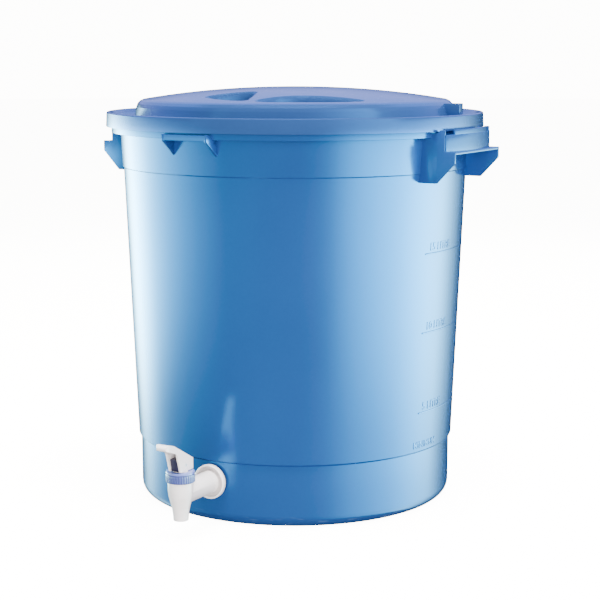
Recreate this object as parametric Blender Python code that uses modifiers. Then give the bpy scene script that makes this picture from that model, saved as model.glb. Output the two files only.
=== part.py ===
"""Plastic fermenting bucket with a loose domed lid and a push-lever tap.

Metres, +Z up. The origin is the middle of the base, the tap points along -Y and the two
moulded hand grips stand out along +X and -X.
"""
import math

import bmesh
import bpy
from mathutils import Matrix, Vector

GAP = 0.0003                    # between pieces that touch
ROUND_STEPS = 48                # facets round the bucket and the lid
SMALL_STEPS = 24                # facets round the tap's pieces
MERGE = 0.00001

# Bucket: one moulding, wall of even thickness
WALL = 0.0022
HEEL_RADIUS = 0.0112            # rounded corner between base and wall
WALL_FOOT_RADIUS = 0.1451
LOWER_STEP_Z = 0.0568
LOWER_STEP_RADIUS = 0.1475
UPPER_STEP_Z = 0.3060
UPPER_STEP_RADIUS = 0.1579
UPPER_BAND_RADIUS = 0.1587
RIM_WALL_RADIUS = 0.1603
RIM_Z = 0.3490
RIM_LIP_RADIUS = 0.1685
RIM_LIP_LOW = 0.3370
FLOOR_Z = 0.0052
BASE_PAD_RADIUS = 0.045
BASE_RING_INNER = 0.122
BASE_RECESS = 0.0022

# Hand grips: webs square to the grip, a curved apron and a flat shelf
GRIP_HALF_WIDTH = 0.0468
GRIP_SHEET = 0.0024
GRIP_OUT = 0.1833
APRON_RADIUS = 0.1808
APRON_LOW = 0.3232
APRON_TOP = 0.3400
APRON_CREST = 0.3442
APRON_CREST_HALF_DEG = 11.0
SHELF_TOP = 0.3254
GRIP_ROOF = (0.3370, 0.3392)
WEB_FOOT_Z = 0.2984

# Small lug under the rim, above the tap
LUG_TURN_DEG = -2.4
LUG_HALF_WIDTH = 0.0221
LUG_OUT = 0.1738
LUG_TOP = 0.3412

# Lid
LID_TURN_DEG = 29.7
LID_APEX = 0.3779
LID_SHEET = 0.0023
PLATEAU_TOP_RADIUS = 0.1395
PLATEAU_TOP_Z = 0.3668
PLATEAU_CORNER = [(0.1423, 0.3655), (0.1446, 0.3631), (0.1457, 0.3600)]
GUTTER_Z = 0.3516
BAND_RADIUS = 0.1729
BAND_TOP = 0.3556
BAND_LOW = 0.3425
PLUG_RADIUS = 0.1572
PLUG_LOW = 0.3380
WELL_FLOOR_Z = 0.3585
BLOCK_TURN_DEG = -21.0
BLOCK_HALF_WIDTH = 0.0060
BLOCK_OUT = 0.1585
BLOCK_TOP = 0.3643
CUTTER_TOP = 0.39                # above the lid's apex

# Tap: barrel along -Y, spout and valve straight down at SPOUT_Y
TAP_Z = 0.0386
SPOUT_Y = -0.1950
BARREL_RADIUS = 0.00975
SHANK_RADIUS = 0.00895
SHANK_END_Y = -0.1220
WALL_HOLE_RADIUS = 0.0093
FLANGE_BACK_Y = -0.1474
FLANGE_RADIUS = 0.0152
WATERWAY_RADIUS = 0.0053
SEAT_Z = 0.0330
CHAMBER_RADIUS = 0.0080
NECK_RADIUS = 0.0096
NECK_TOP = 0.0560
SHOULDER_Z = 0.0494
NOZZLE_LOW = 0.0156
NOZZLE_BORE = 0.0042
BONNET_TOP = 0.0592
COLLAR_RADIUS = 0.0126
COLLAR_LOW = 0.0497
COLLAR_TOP = 0.0590
STEM_RADIUS = 0.0024
STEM_HOLE_RADIUS = 0.0025
PIN_Z = 0.0645
PIN_RADIUS = 0.0012
PIN_HOLE_RADIUS = 0.0013
LEVER_HALF_WIDTH = 0.0062
LEVER_CHEEK = 0.0018
PIN_HALF_LENGTH = 0.0060
STEM_HEAD_HALF_WIDTH = 0.0041
LEVER_BACK = 0.1840              # distances out from the bucket's axis
LEVER_FRONT = 0.2034

BLUE = (0.045, 0.165, 0.42, 1.0)
TAP_WHITE = (0.80, 0.78, 0.76, 1.0)
COLLAR_BLUE = (0.06, 0.10, 0.42, 1.0)
SEAL_GREY = (0.10, 0.10, 0.11, 1.0)
SILICONE = (0.75, 0.74, 0.70, 1.0)
STEEL = (0.62, 0.62, 0.64, 1.0)


def clear_scene():
    for item in list(bpy.data.objects):
        bpy.data.objects.remove(item, do_unlink=True)


def new_collection(name):
    collection = bpy.data.collections.new(name)
    bpy.context.scene.collection.children.link(collection)
    return collection


def material(name, colour, roughness, metallic=0.0):
    made = bpy.data.materials.new(name)
    made.use_nodes = True
    shader = made.node_tree.nodes["Principled BSDF"]
    shader.inputs["Base Color"].default_value = colour
    shader.inputs["Roughness"].default_value = roughness
    shader.inputs["Metallic"].default_value = metallic
    return made


def put(collection, name, mesh, shade=None):
    item = bpy.data.objects.new(name, mesh)
    collection.objects.link(item)
    if shade:
        mesh.materials.append(shade)
    return item


def arc(centre_r, centre_z, radius, start_deg, end_deg, count):
    """Points of an arc in a turned profile; 0 degrees is outwards, 90 degrees is up."""
    points = []
    for index in range(count + 1):
        angle = math.radians(start_deg + (end_deg - start_deg) * index / count)
        points.append((centre_r + radius * math.cos(angle), centre_z + radius * math.sin(angle)))
    return points


def turned(collection, name, profile, steps, shade=None, closed=False, place=None):
    """A solid of revolution about Z from (radius, height) points, outer side downwards."""
    mesh = bpy.data.meshes.new(name)
    edges = [(index, index + 1) for index in range(len(profile) - 1)]
    if closed:
        edges.append((len(profile) - 1, 0))
    mesh.from_pydata([(r, 0.0, z) for r, z in profile], edges, [])
    item = put(collection, name, mesh, shade)
    screw = item.modifiers.new("Turn", "SCREW")
    screw.axis = "Z"
    screw.steps = screw.render_steps = steps
    screw.use_merge_vertices = True
    screw.merge_threshold = MERGE
    screw.use_smooth_shade = True
    if place is not None:
        item.matrix_world = place
    return item


def prism(collection, name, outline, low, high, place=None, shade=None):
    """A flat outline made solid between two heights, then placed."""
    curve = bpy.data.curves.new(name, "CURVE")
    curve.dimensions = "2D"
    curve.fill_mode = "BOTH"
    curve.extrude = (high - low) / 2
    spline = curve.splines.new("POLY")
    spline.points.add(len(outline) - 1)
    for point, (x, y) in zip(spline.points, outline):
        point.co = (x, y, 0.0, 1.0)
    spline.use_cyclic_u = True
    drawn = put(collection, name + "_outline", curve)
    drawn.location.z = (high + low) / 2
    bpy.context.view_layer.update()
    graph = bpy.context.evaluated_depsgraph_get()
    mesh = bpy.data.meshes.new_from_object(drawn.evaluated_get(graph))
    mesh.transform(drawn.matrix_world)
    bpy.data.objects.remove(drawn, do_unlink=True)
    shell = bmesh.new()
    shell.from_mesh(mesh)
    bmesh.ops.remove_doubles(shell, verts=shell.verts, dist=MERGE)
    bmesh.ops.recalc_face_normals(shell, faces=shell.faces)
    shell.to_mesh(mesh)
    shell.free()
    mesh.name = name
    item = put(collection, name, mesh, shade)
    if place is not None:
        item.matrix_world = place
    return item


def guide(item):
    item.hide_render = True
    item.display_type = "WIRE"
    return item


def combine(target, tool, operation):
    change = target.modifiers.new(operation.title() + "_" + tool.name, "BOOLEAN")
    change.operation = operation
    change.solver = "EXACT"
    change.object = guide(tool)


def sector(inner, outer, half_deg, count=8):
    """A slice of a ring in plan, centred on +X."""
    points = []
    for radius, start, end in ((outer, -half_deg, half_deg), (inner, half_deg, -half_deg)):
        for index in range(count + 1):
            angle = math.radians(start + (end - start) * index / count)
            points.append((radius * math.cos(angle), radius * math.sin(angle)))
    return points


def turn_z(degrees):
    return Matrix.Rotation(math.radians(degrees), 4, "Z")


# Local X outwards and local Y up becomes world X and Z, with the thickness across Y.
UPRIGHT = Matrix.Rotation(math.radians(90.0), 4, "X")


def upright_plate(cutters, name, outline, offset, sheet, turn_deg):
    """A web: an outline of (outwards, height) set across the grip at a sideways offset."""
    return prism(cutters, name, outline, -offset - sheet / 2, -offset + sheet / 2,
                 turn_z(turn_deg) @ UPRIGHT)


def bucket_profile():
    inner_foot = WALL_FOOT_RADIUS - WALL
    profile = [(0.0, FLOOR_Z)]
    profile += arc(inner_foot - HEEL_RADIUS, FLOOR_Z + HEEL_RADIUS, HEEL_RADIUS, -90.0, 0.0, 4)
    profile += [
        (inner_foot, LOWER_STEP_Z - 0.0008),
        (LOWER_STEP_RADIUS - WALL, LOWER_STEP_Z + 0.0012),
        (UPPER_STEP_RADIUS - WALL, UPPER_STEP_Z - 0.0005),
        (UPPER_BAND_RADIUS - WALL, UPPER_STEP_Z + 0.0005),
        (RIM_WALL_RADIUS - WALL, RIM_Z - 0.0008),
        (RIM_WALL_RADIUS - WALL + 0.0008, RIM_Z),
        (RIM_LIP_RADIUS - 0.0016, RIM_Z),
        (RIM_LIP_RADIUS, RIM_Z - 0.0016),
        (RIM_LIP_RADIUS, RIM_LIP_LOW + 0.0005),
        (RIM_LIP_RADIUS - 0.0005, RIM_LIP_LOW),
        (RIM_LIP_RADIUS - WALL, RIM_LIP_LOW),
        (RIM_LIP_RADIUS - WALL, RIM_Z - WALL),
        (RIM_WALL_RADIUS, RIM_Z - WALL),
        (RIM_WALL_RADIUS, RIM_LIP_LOW),
        (UPPER_BAND_RADIUS, UPPER_STEP_Z + 0.0003),
        (UPPER_STEP_RADIUS, UPPER_STEP_Z - 0.0006),
        (LOWER_STEP_RADIUS, LOWER_STEP_Z + 0.0006),
        (WALL_FOOT_RADIUS + 0.0002, LOWER_STEP_Z - 0.0010),
    ]
    profile += arc(WALL_FOOT_RADIUS - HEEL_RADIUS, HEEL_RADIUS, HEEL_RADIUS, 0.0, -90.0, 5)
    profile += [
        (BASE_RING_INNER, 0.0),
        (BASE_RING_INNER - 0.0015, BASE_RECESS),
        (BASE_PAD_RADIUS + 0.0015, BASE_RECESS),
        (BASE_PAD_RADIUS, 0.0),
        (0.0, 0.0),
    ]
    return profile


def web_outline():
    web_out, web_shelf = GRIP_OUT + 0.0003, SHELF_TOP + 0.0003
    return [
        (0.1492, WEB_FOOT_Z), (0.1665, WEB_FOOT_Z), (web_out, 0.3162), (web_out, web_shelf),
        (0.1739, web_shelf), (0.1739, APRON_CREST - 0.0003), (0.1695, APRON_CREST - 0.0003),
        (0.1686, 0.3425), (0.1670, 0.3417), (0.1605, 0.3410), (0.1565, 0.3400), (0.1518, 0.3398),
    ]


def add_grip(body, cutters, label, turn_deg):
    """A hand grip: roof under the lid's band, apron, shelf and two webs, open below."""
    place = turn_z(turn_deg)
    half_deg = math.degrees(math.asin(GRIP_HALF_WIDTH / APRON_RADIUS))
    shelf = sector(0.1790, 0.1790, half_deg)[:9]
    shelf = [(GRIP_OUT, -GRIP_HALF_WIDTH), (GRIP_OUT, GRIP_HALF_WIDTH)] + shelf[::-1]
    pieces = [
        prism(cutters, label + "_roof", sector(0.1592, 0.1794, half_deg - 0.15), *GRIP_ROOF, place),
        prism(cutters, label + "_apron", sector(APRON_RADIUS - GRIP_SHEET, APRON_RADIUS, half_deg),
              APRON_LOW, APRON_TOP, place),
        prism(cutters, label + "_crest",
              sector(APRON_RADIUS - GRIP_SHEET + 0.0002, APRON_RADIUS - 0.0004, APRON_CREST_HALF_DEG),
              APRON_TOP - 0.0018, APRON_CREST, place),
        prism(cutters, label + "_shelf", shelf, APRON_LOW + 0.0001, SHELF_TOP, place),
    ]
    for side in (-1.0, 1.0):
        pieces.append(upright_plate(cutters, f"{label}_web{'L' if side < 0 else 'R'}", web_outline(),
                                    side * GRIP_HALF_WIDTH, GRIP_SHEET, turn_deg))
    for piece in pieces:
        combine(body, piece, "UNION")


def add_lug(body, cutters):
    """The small lifting lug on the tap's side: a plate, a front lip and two pointed webs."""
    turn_deg = -90.0 + LUG_TURN_DEG
    place = turn_z(turn_deg)
    half = LUG_HALF_WIDTH
    plate = [(0.1585, -half), (LUG_OUT, -half), (LUG_OUT, half), (0.1585, half)]
    lip = [(LUG_OUT - GRIP_SHEET, -half), (LUG_OUT, -half), (LUG_OUT, half), (LUG_OUT - GRIP_SHEET, half)]
    pieces = [
        prism(cutters, "lug_plate", plate, LUG_TOP - 0.0022, LUG_TOP, place),
        prism(cutters, "lug_lip", lip, LUG_TOP - 0.0052, LUG_TOP - 0.0001, place),
    ]
    web_out, web_top = LUG_OUT + 0.0003, LUG_TOP + 0.0003
    outline = [(0.1570, 0.3232), (0.1584, 0.3232), (web_out, 0.3357),
               (web_out, web_top), (0.1572, web_top)]
    for side in (-1.0, 1.0):
        pieces.append(upright_plate(cutters, f"lug_web{'L' if side < 0 else 'R'}", outline,
                                    side * LUG_HALF_WIDTH, GRIP_SHEET, turn_deg))
    for piece in pieces:
        combine(body, piece, "UNION")


def make_bucket(parts, cutters):
    body = turned(parts, "bucket_body", bucket_profile(), ROUND_STEPS,
                  material("bucket_blue", BLUE, 0.25))
    add_grip(body, cutters, "grip_a", 0.0)
    add_grip(body, cutters, "grip_b", 180.0)
    add_lug(body, cutters)
    hole = turned(cutters, "tap_hole", [(0.0, 0.020), (WALL_HOLE_RADIUS, 0.020),
                                        (WALL_HOLE_RADIUS, -0.020), (0.0, -0.020)], SMALL_STEPS)
    hole.matrix_world = Matrix.Translation((0.0, -0.1440, TAP_Z)) @ UPRIGHT
    combine(body, hole, "DIFFERENCE")
    return body


def dome_height(radius):
    return LID_APEX - (LID_APEX - PLATEAU_TOP_Z) * (radius / PLATEAU_TOP_RADIUS) ** 2.1


def lid_outside():
    """Upper side of the lid from the middle outwards, down to the band's lower edge."""
    rings = 6
    points = [(PLATEAU_TOP_RADIUS * i / rings, dome_height(PLATEAU_TOP_RADIUS * i / rings))
              for i in range(rings + 1)]
    points += PLATEAU_CORNER + [
        (0.1473, GUTTER_Z + 0.0008), (0.1480, GUTTER_Z),
        (0.1668, GUTTER_Z), (0.1688, BAND_TOP - 0.0008), (0.1700, BAND_TOP),
        (BAND_RADIUS - 0.0012, BAND_TOP), (BAND_RADIUS - 0.0001, BAND_TOP - 0.0012),
        (BAND_RADIUS + 0.0006, BAND_LOW),
    ]
    return points


def lid_profile():
    rings = 5
    under = GUTTER_Z - LID_SHEET
    inner_top = PLATEAU_TOP_RADIUS - 0.0010
    profile = lid_outside()
    profile += [
        (BAND_RADIUS - 0.0014, BAND_LOW), (BAND_RADIUS - 0.0022, under),
        (PLUG_RADIUS, under), (PLUG_RADIUS - 0.0006, PLUG_LOW),
        (PLUG_RADIUS - LID_SHEET, PLUG_LOW), (PLUG_RADIUS - LID_SHEET, under),
        (0.1454, under), (0.1434, 0.3598), (0.1424, 0.3619), (0.1408, 0.3638),
    ]
    profile += [(inner_top * i / rings, dome_height(inner_top * i / rings) - LID_SHEET)
                for i in range(rings, -1, -1)]
    return profile


def well_outline(points, margin):
    """Moves each point of a closed outline outwards from its middle by a margin."""
    middle = sum((Vector(point) for point in points), Vector((0.0, 0.0))) / len(points)
    moved = []
    for point in points:
        away = Vector(point) - middle
        moved.append(tuple(Vector(point) + away.normalized() * margin))
    return moved


SIDE_WELL = [(-0.079, -0.082), (-0.066, -0.073), (-0.050, -0.066), (-0.033, -0.064),
             (-0.035, -0.085), (-0.038, -0.106), (-0.042, -0.121), (-0.055, -0.1145), (-0.068, -0.101)]
FRONT_WELL = [(-0.036, -0.1265), (-0.019, -0.109), (0.001, -0.1005), (0.024, -0.1015),
              (0.045, -0.107), (0.062, -0.115), (0.046, -0.1245), (0.024, -0.1310),
              (0.000, -0.1330), (-0.020, -0.1312)]


def make_lid(parts, cutters):
    lid = turned(parts, "lid", lid_profile(), ROUND_STEPS, material("lid_blue", BLUE, 0.3))
    block = [(0.1436, -BLOCK_HALF_WIDTH), (BLOCK_OUT, -BLOCK_HALF_WIDTH),
             (BLOCK_OUT, BLOCK_HALF_WIDTH), (0.1436, BLOCK_HALF_WIDTH)]
    combine(lid, prism(cutters, "lid_block", block, GUTTER_Z - 0.001, BLOCK_TOP,
                       turn_z(LID_TURN_DEG + BLOCK_TURN_DEG)), "UNION")
    limit = turned(cutters, "lid_volume", lid_outside()[:11] + [(0.1473, 0.34), (0.0, 0.34)],
                   ROUND_STEPS)
    wells = [(f"{label}_{side}", points, turn_z(LID_TURN_DEG + half_turn))
             for side, half_turn in (("a", 0.0), ("b", 180.0))
             for label, points in (("side", SIDE_WELL), ("front", FRONT_WELL))]
    for label, points, place in wells:
        cup = prism(cutters, "cup_" + label, well_outline(points, LID_SHEET),
                    WELL_FLOOR_Z - LID_SHEET, CUTTER_TOP, place)
        combine(cup, limit, "INTERSECT")
        combine(lid, cup, "UNION")
    for label, points, place in wells:
        combine(lid, prism(cutters, "well_" + label, points, WELL_FLOOR_Z, CUTTER_TOP, place),
                "DIFFERENCE")
    return lid


def about_y(y):
    """Places a turned piece on the tap's barrel axis; its own +Z then points along -Y."""
    return Matrix.Translation((0.0, y, TAP_Z)) @ UPRIGHT


def about_spout():
    return Matrix.Translation((0.0, SPOUT_Y, 0.0))


def rod(cutters, name, radius, low, high, steps=SMALL_STEPS, place=None):
    return turned(cutters, name, [(0.0, high), (radius, high), (radius, low), (0.0, low)],
                  steps, place=place)


def make_tap_body(parts, cutters):
    """Spout with its valve chamber, barrel, dished flange and the shank through the wall."""
    white = material("tap_white", TAP_WHITE, 0.3)
    profile = [
        (0.0, NECK_TOP), (NECK_RADIUS, NECK_TOP), (NECK_RADIUS, SHOULDER_Z), (0.0111, SHOULDER_Z),
        (0.0110, 0.0420), (0.0104, 0.0370), (0.0076, 0.0264), (0.0067, 0.0200),
        (0.0065, NOZZLE_LOW), (0.0, NOZZLE_LOW),
    ]
    tap = turned(parts, "tap_body", profile, SMALL_STEPS, white, place=about_spout())
    depth = -SPOUT_Y
    back = -FLANGE_BACK_Y
    barrel = [
        (0.0, depth), (BARREL_RADIUS, depth), (BARREL_RADIUS, back + 0.0036),
        (0.0104, back + 0.0022), (0.0118, back + 0.0016), (0.0131, back + 0.0022), (0.0138, back + 0.0042),
        (0.0146, back + 0.0044), (FLANGE_RADIUS, back + 0.0038), (FLANGE_RADIUS, back + 0.0004),
        (FLANGE_RADIUS - 0.0004, back),
        (SHANK_RADIUS, back), (SHANK_RADIUS, -SHANK_END_Y + 0.0008),
        (SHANK_RADIUS - 0.0008, -SHANK_END_Y), (0.0, -SHANK_END_Y),
    ]
    combine(tap, turned(cutters, "barrel", barrel, SMALL_STEPS, place=about_y(0.0)), "UNION")
    combine(tap, rod(cutters, "chamber", CHAMBER_RADIUS, SEAT_Z, 0.070, place=about_spout()),
            "DIFFERENCE")
    combine(tap, rod(cutters, "nozzle_bore", NOZZLE_BORE, 0.005, 0.040, place=about_spout()),
            "DIFFERENCE")
    combine(tap, rod(cutters, "waterway", WATERWAY_RADIUS, 0.110, depth - 0.005, place=about_y(0.0)),
            "DIFFERENCE")
    return tap


OUTER_WASHER_RADIUS = 0.0140
INNER_WASHER_RADIUS = 0.0145
INNER_WASHER_END = 0.1400
NUT_RADIUS = 0.0150
NUT_LENGTH = 0.0085


def make_wall_seals(parts, cutters):
    """Two rubber washers that follow the curved wall, and the nut that pulls them tight."""
    grey = material("seal_grey", SEAL_GREY, 0.6)
    outer_wall = turned(cutters, "outer_wall_guide", [
        (0.0, 0.06), (WALL_FOOT_RADIUS + GAP + 0.0001, 0.06), (WALL_FOOT_RADIUS + GAP, 0.0),
        (0.0, 0.0)], ROUND_STEPS)
    inner_wall = turned(cutters, "inner_wall_guide", [
        (0.0, 0.06), (WALL_FOOT_RADIUS - WALL - GAP - 0.0003, 0.06),
        (WALL_FOOT_RADIUS - WALL - GAP - 0.0003, 0.0), (0.0, 0.0)], ROUND_STEPS)
    bore = SHANK_RADIUS + GAP
    front = -FLANGE_BACK_Y - GAP
    wide = OUTER_WASHER_RADIUS
    outer = turned(parts, "outer_washer", [(wide, front), (wide, 0.1430), (bore, 0.1430), (bore, front)],
                   SMALL_STEPS, grey, closed=True, place=about_y(0.0))
    combine(outer, outer_wall, "DIFFERENCE")
    wide, end = INNER_WASHER_RADIUS, INNER_WASHER_END
    inner = turned(parts, "inner_washer", [(wide, 0.1440), (wide, end), (bore, end), (bore, 0.1440)],
                   SMALL_STEPS, grey, closed=True, place=about_y(0.0))
    combine(inner, inner_wall, "INTERSECT")

    nut_face = INNER_WASHER_END - GAP
    corners = [math.radians(60 * k + 30) for k in range(6)]
    hexagon = [(NUT_RADIUS * math.cos(corner), NUT_RADIUS * math.sin(corner)) for corner in corners]
    nut = prism(parts, "back_nut", hexagon, nut_face - NUT_LENGTH, nut_face, about_y(0.0),
                material("nut_white", TAP_WHITE, 0.35))
    combine(nut, rod(cutters, "nut_bore", bore, 0.120, 0.150, place=about_y(0.0)), "DIFFERENCE")


def make_bonnet(parts):
    turned(parts, "bonnet", [
        (STEM_HOLE_RADIUS, BONNET_TOP), (0.0066, BONNET_TOP), (0.0068, 0.0577), (0.0094, 0.0577),
        (0.0094, NECK_TOP + GAP), (CHAMBER_RADIUS - GAP, NECK_TOP + GAP), (CHAMBER_RADIUS - GAP, 0.0535),
        (0.0064, 0.0522), (0.0064, 0.0540), (STEM_HOLE_RADIUS, 0.0540)],
        SMALL_STEPS, material("bonnet_white", TAP_WHITE, 0.3), closed=True, place=about_spout())


def make_collar(parts):
    turned(parts, "collar", [
        (0.0071, COLLAR_TOP - 0.0001), (COLLAR_RADIUS - 0.0008, COLLAR_TOP),
        (COLLAR_RADIUS, COLLAR_TOP - 0.0008),
        (COLLAR_RADIUS, COLLAR_LOW + 0.0005), (COLLAR_RADIUS - 0.0005, COLLAR_LOW),
        (NECK_RADIUS + GAP, COLLAR_LOW), (NECK_RADIUS + GAP, 0.0580), (0.0071, 0.0580)],
        40, material("collar_blue", COLLAR_BLUE, 0.25), closed=True, place=about_spout())


def make_valve(parts, cutters):
    """Silicone seat cup, spring washer, spring and stem: the pieces that the lever lifts."""
    turned(parts, "seat_cup", [
        (0.0, 0.0355), (0.0029, 0.0355), (0.0029, 0.0402), (0.0052, 0.0402), (0.0062, 0.0360),
        (0.0062, SEAT_Z + GAP), (0.0, SEAT_Z + GAP)],
        SMALL_STEPS, material("silicone", SILICONE, 0.5), place=about_spout())
    turned(parts, "spring_washer", [
        (0.0027, 0.0414), (0.0062, 0.0414), (0.0062, 0.0405), (0.0027, 0.0405)],
        SMALL_STEPS, material("washer_white", TAP_WHITE, 0.4), closed=True, place=about_spout())
    stem = turned(parts, "valve_stem", [
        (0.0, PIN_Z), (STEM_RADIUS, PIN_Z), (STEM_RADIUS, 0.0358), (0.0, 0.0358)],
        SMALL_STEPS, material("stem_dark", (0.05, 0.045, 0.09, 1.0), 0.35), place=about_spout())
    side_on = Matrix.Rotation(math.radians(-90.0), 4, "Z") @ UPRIGHT
    foot, top = BONNET_TOP + GAP + 0.0002, 0.0705
    head = [(0.1915, foot), (0.1915, top - 0.0018), (0.1935, top), (0.2045, top), (0.2023, foot)]
    combine(stem, prism(cutters, "stem_head", head, -STEM_HEAD_HALF_WIDTH, STEM_HEAD_HALF_WIDTH, side_on),
            "UNION")
    hole = rod(cutters, "stem_pin_hole", PIN_HOLE_RADIUS, -0.02, 0.02, 16)
    hole.matrix_world = Matrix.Translation((0.0, SPOUT_Y, PIN_Z)) @ Matrix.Rotation(math.pi / 2, 4, "Y")
    combine(stem, hole, "DIFFERENCE")
    make_spring(parts)


def make_spring(parts):
    turns, per_turn, radius, wire = 4.5, 12, 0.0047, 0.0004
    low, high = 0.0414 + GAP + wire, 0.0535 - GAP - wire
    count = int(turns * per_turn)
    curve = bpy.data.curves.new("return_spring", "CURVE")
    curve.dimensions = "3D"
    curve.bevel_depth = wire
    curve.bevel_resolution = 1
    curve.use_fill_caps = True
    spline = curve.splines.new("POLY")
    spline.points.add(count)
    for index, point in enumerate(spline.points):
        angle = 2 * math.pi * index / per_turn
        rise = low + (high - low) * index / count
        point.co = (radius * math.cos(angle), radius * math.sin(angle), rise, 1.0)
    spring = put(parts, "return_spring", curve)
    spring.data.materials.append(material("spring_steel", STEEL, 0.3, 1.0))
    spring.location = (0.0, SPOUT_Y, 0.0)
    weld = spring.modifiers.new("Close", "WELD")
    weld.merge_threshold = MERGE


def lever_outline():
    """Side view as (distance out from the bucket's axis, height)."""
    return [
        (LEVER_BACK, BONNET_TOP + GAP), (LEVER_BACK, 0.0685), (0.2130, 0.0848), (0.2190, 0.0866),
        (0.2226, 0.0862), (0.2240, 0.0842), (0.2228, 0.0818), (0.2190, 0.0806),
        (0.2085, 0.0768), (LEVER_FRONT, BONNET_TOP + GAP),
    ]


def make_lever(parts, cutters):
    """An upside-down channel with a thumb paddle; its cheeks straddle the stem's head."""
    side_on = Matrix.Rotation(math.radians(-90.0), 4, "Z") @ UPRIGHT
    lever = prism(parts, "lever", lever_outline(), -LEVER_HALF_WIDTH, LEVER_HALF_WIDTH, side_on,
                  material("lever_white", TAP_WHITE, 0.28))
    inside = LEVER_HALF_WIDTH - LEVER_CHEEK
    hollow = [(0.1862, 0.055), (0.1862, 0.0672), (0.2045, 0.0770), (0.2120, 0.0770), (0.2120, 0.055)]
    combine(lever, prism(cutters, "lever_hollow", hollow, -inside, inside, side_on), "DIFFERENCE")
    hole = rod(cutters, "lever_pin_hole", PIN_HOLE_RADIUS, -0.02, 0.02, 16)
    hole.matrix_world = Matrix.Translation((0.0, SPOUT_Y, PIN_Z)) @ Matrix.Rotation(math.pi / 2, 4, "Y")
    combine(lever, hole, "DIFFERENCE")
    pin = rod(parts, "lever_pin", PIN_RADIUS, -PIN_HALF_LENGTH, PIN_HALF_LENGTH, 16)
    pin.matrix_world = Matrix.Translation((0.0, SPOUT_Y, PIN_Z)) @ Matrix.Rotation(math.pi / 2, 4, "Y")
    pin.data.materials.append(material("pin_steel", STEEL, 0.3, 1.0))


def main():
    clear_scene()
    parts = new_collection("fermenting_bucket")
    cutters = new_collection("cutters")
    make_bucket(parts, cutters)
    make_lid(parts, cutters)
    make_tap_body(parts, cutters)
    make_wall_seals(parts, cutters)
    make_bonnet(parts)
    make_collar(parts)
    make_valve(parts, cutters)
    make_lever(parts, cutters)


main()
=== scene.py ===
"""Plastic fermenting bucket with a loose domed lid and a push-lever tap, dressed for a studio view.

Metres, +Z up. The origin is the middle of the base, the tap points along -Y and the two
moulded hand grips stand out along +X and -X.
"""
from __future__ import annotations

import logging
import math
from dataclasses import dataclass
from enum import Enum
from typing import Any, Callable, Sequence

import bpy
import numpy as np
from mathutils import Matrix, Vector


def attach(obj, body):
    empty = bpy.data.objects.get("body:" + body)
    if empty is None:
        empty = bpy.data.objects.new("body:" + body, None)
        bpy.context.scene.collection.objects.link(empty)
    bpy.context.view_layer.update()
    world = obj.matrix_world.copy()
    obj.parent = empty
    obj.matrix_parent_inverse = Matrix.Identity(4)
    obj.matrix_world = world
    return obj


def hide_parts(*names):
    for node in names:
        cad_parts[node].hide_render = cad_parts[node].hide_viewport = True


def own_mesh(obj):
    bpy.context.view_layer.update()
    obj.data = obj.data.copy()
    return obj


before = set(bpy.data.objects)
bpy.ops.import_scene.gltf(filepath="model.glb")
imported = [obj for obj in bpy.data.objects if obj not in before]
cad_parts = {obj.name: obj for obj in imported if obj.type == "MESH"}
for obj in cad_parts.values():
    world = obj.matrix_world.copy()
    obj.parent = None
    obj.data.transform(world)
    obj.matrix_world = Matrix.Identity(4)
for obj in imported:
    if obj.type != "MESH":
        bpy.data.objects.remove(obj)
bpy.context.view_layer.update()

LOG = logging.getLogger("bucket")

Point = tuple[float, float]
Corner = tuple[float, float, float]
Colour = tuple[float, float, float]

MERGE = 1e-6
GAP = 0.0003
UPRIGHT = Matrix.Rotation(math.radians(90.0), 4, "X")


class Body(Enum):
    """The four bodies that move on their own."""

    BUCKET = "bucket"
    LID = "lid"
    STEM = "stem"
    LEVER = "lever"


class Slot(Enum):
    """Names of the material slots."""

    BUCKET = "bucket_plastic"
    LID = "lid_plastic"
    TAP = "tap_plastic"
    COLLAR = "collar_plastic"
    STEM = "stem_plastic"
    RUBBER = "seal_rubber"
    SILICONE = "silicone"
    STEEL = "spring_steel"


class Join(Enum):
    """What one solid does to another."""

    ADD = "UNION"
    CUT = "DIFFERENCE"
    KEEP = "INTERSECT"


# ---------------------------------------------------------------- shader maths


class Sock:
    """An output socket that takes part in Python sums."""

    def __init__(self, tree: bpy.types.NodeTree, socket: bpy.types.NodeSocket) -> None:
        """Holds one output socket of a node tree."""
        self.tree = tree
        self.socket = socket

    def sum_with(self, operation: str, first: "Sock | float", second: "Sock | float") -> "Sock":
        """Adds one Math node.

        Args:
            operation: the Math node's operation.
            first: its first value or link.
            second: its second value or link.

        Returns:
            The node's output.
        """
        node = self.tree.nodes.new("ShaderNodeMath")
        node.operation = operation
        for entry, value in zip(node.inputs, (first, second)):
            if isinstance(value, Sock):
                self.tree.links.new(value.socket, entry)
            else:
                entry.default_value = value
        return Sock(self.tree, node.outputs[0])

    def __add__(self, other: "Sock | float") -> "Sock":
        """Sum."""
        return self.sum_with("ADD", self, other)

    def __radd__(self, other: float) -> "Sock":
        """Sum with a number on the left."""
        return self.sum_with("ADD", other, self)

    def __sub__(self, other: "Sock | float") -> "Sock":
        """Difference."""
        return self.sum_with("SUBTRACT", self, other)

    def __rsub__(self, other: float) -> "Sock":
        """Difference from a number."""
        return self.sum_with("SUBTRACT", other, self)

    def __mul__(self, other: "Sock | float") -> "Sock":
        """Product."""
        return self.sum_with("MULTIPLY", self, other)

    def __rmul__(self, other: float) -> "Sock":
        """Product with a number on the left."""
        return self.sum_with("MULTIPLY", other, self)

    def __truediv__(self, other: "Sock | float") -> "Sock":
        """Quotient."""
        return self.sum_with("DIVIDE", self, other)

    def __pow__(self, other: float) -> "Sock":
        """Power."""
        return self.sum_with("POWER", self, other)


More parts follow.
